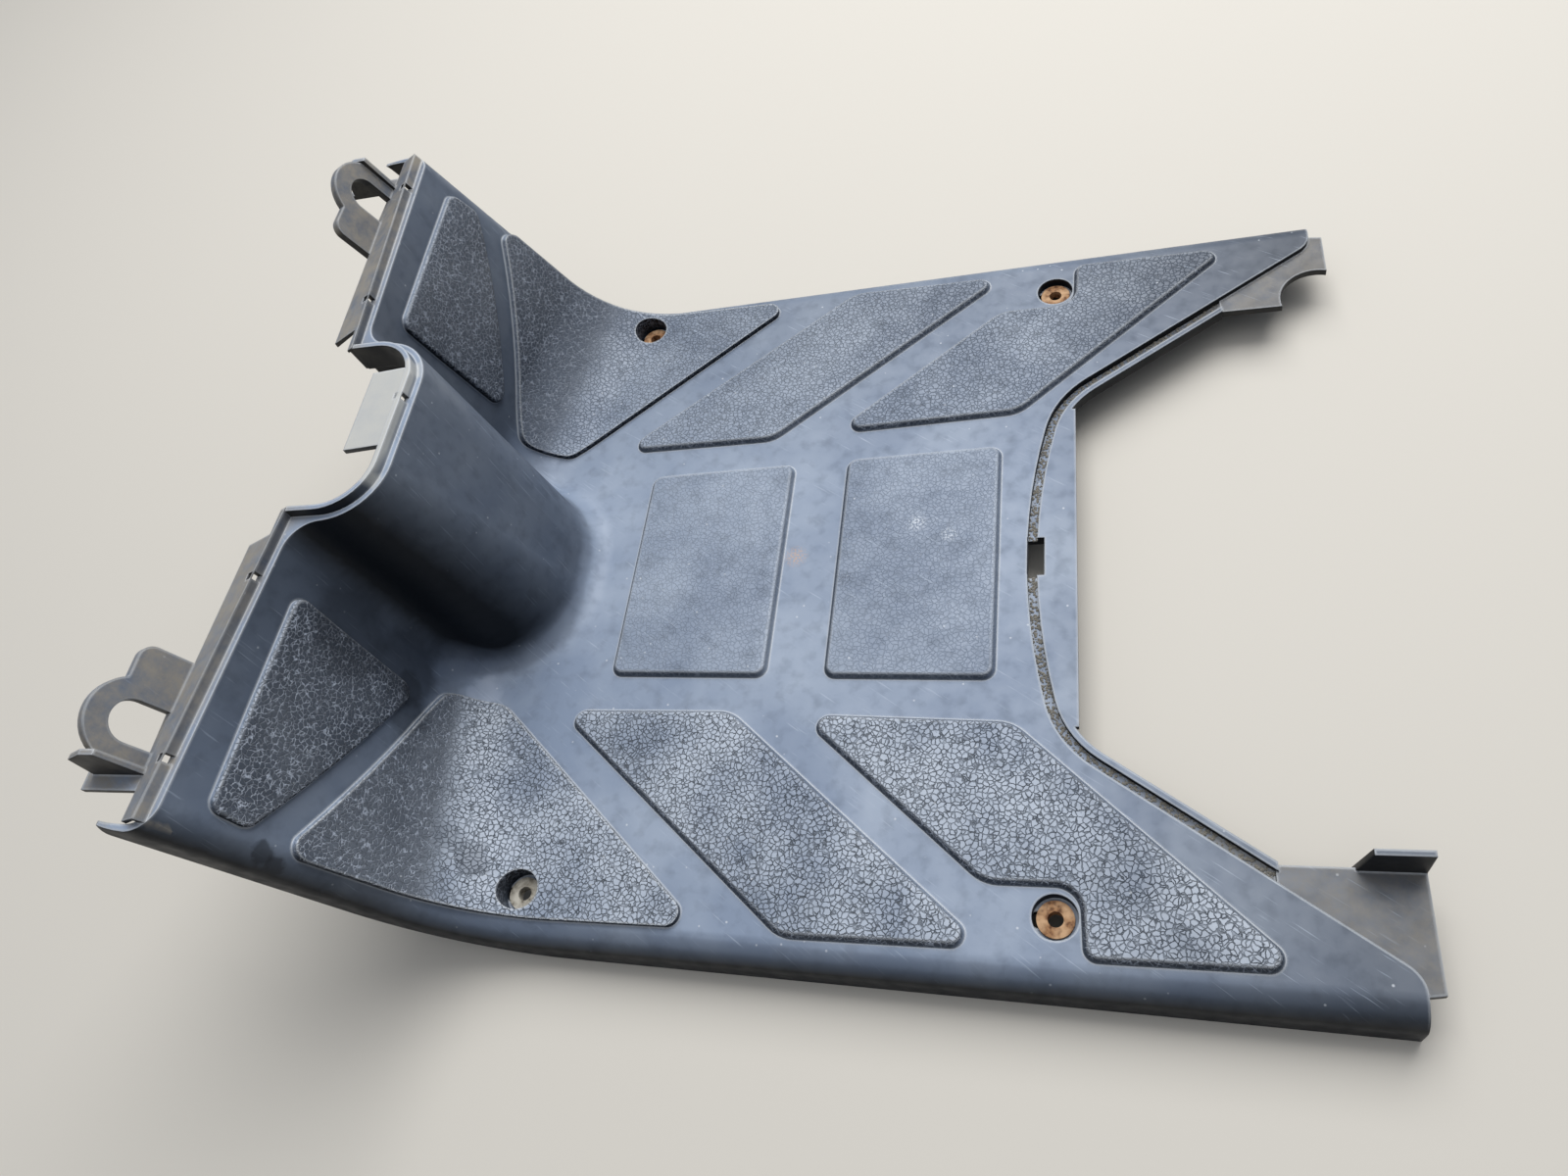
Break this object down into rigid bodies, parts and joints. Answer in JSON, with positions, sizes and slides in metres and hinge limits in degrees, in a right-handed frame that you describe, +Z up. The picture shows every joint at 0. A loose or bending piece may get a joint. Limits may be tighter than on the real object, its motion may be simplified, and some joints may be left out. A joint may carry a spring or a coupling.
{
  "type": "scooter floorboard",
  "caption": "Moulded plastic scooter floorboard with raised grained foot pads, an upswept front round a central hump, a rear cut-out and steel-collared screw wells.",
  "frame": {"origin": "under the middle of the board's overall length and width, on the plane that the side skirts stand on", "axes": "+X forward to the upswept front, +Y to the rider's left, +Z up from the tread"},
  "size_m": [0.4996, 0.406, 0.1831],
  "materials": {
    "board_plastic": "moulded polypropylene, worn and dusty, with leather-grained pads",
    "collar_steel": "plain steel with a film of rust"
  },
  "bodies": {
    "root": {"floorboard": "board_plastic", "screw_collar_front_left": "collar_steel", "screw_collar_front_right": "collar_steel", "screw_collar_rear_left": "collar_steel", "screw_collar_rear_right": "collar_steel"}
  },
  "joints": []
}
